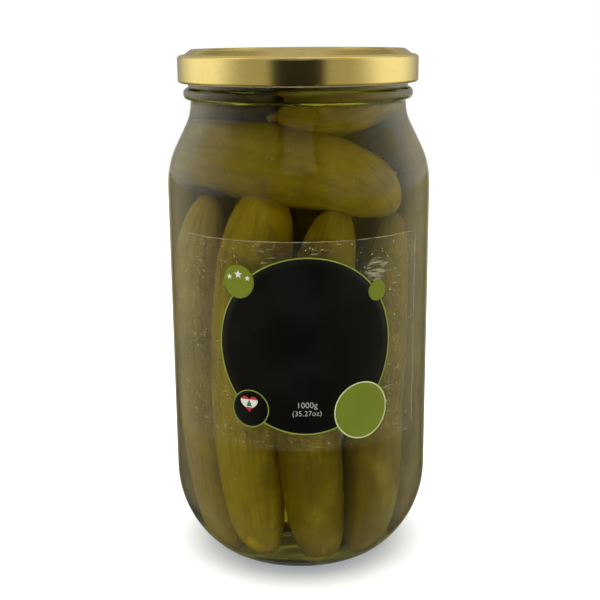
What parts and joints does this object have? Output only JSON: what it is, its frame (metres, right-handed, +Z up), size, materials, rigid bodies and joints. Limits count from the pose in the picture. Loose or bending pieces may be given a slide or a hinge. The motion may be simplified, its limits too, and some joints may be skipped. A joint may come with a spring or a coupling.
{
  "type": "pickle jar",
  "caption": "Round glass jar of gherkins in brine, with a gold twist-off lid, rounded shoulder and heel, and a clear film label carrying a dark disc",
  "frame": {"origin": "centre of the foot, on the surface it stands on", "axes": "+Z up along the jar's axis, -Y is the front with the label, +X is to the right seen from the front"},
  "size_m": [0.096, 0.0962, 0.1884],
  "materials": {
    "glass": "clear",
    "lid": "gold lacquer, satin",
    "brine": "clear yellow-green liquid",
    "film": "clear printed film"
  },
  "bodies": {
    "root": {"jar": "glass", "lid": "lid", "brine": "brine", "label": "film"}
  },
  "joints": []
}
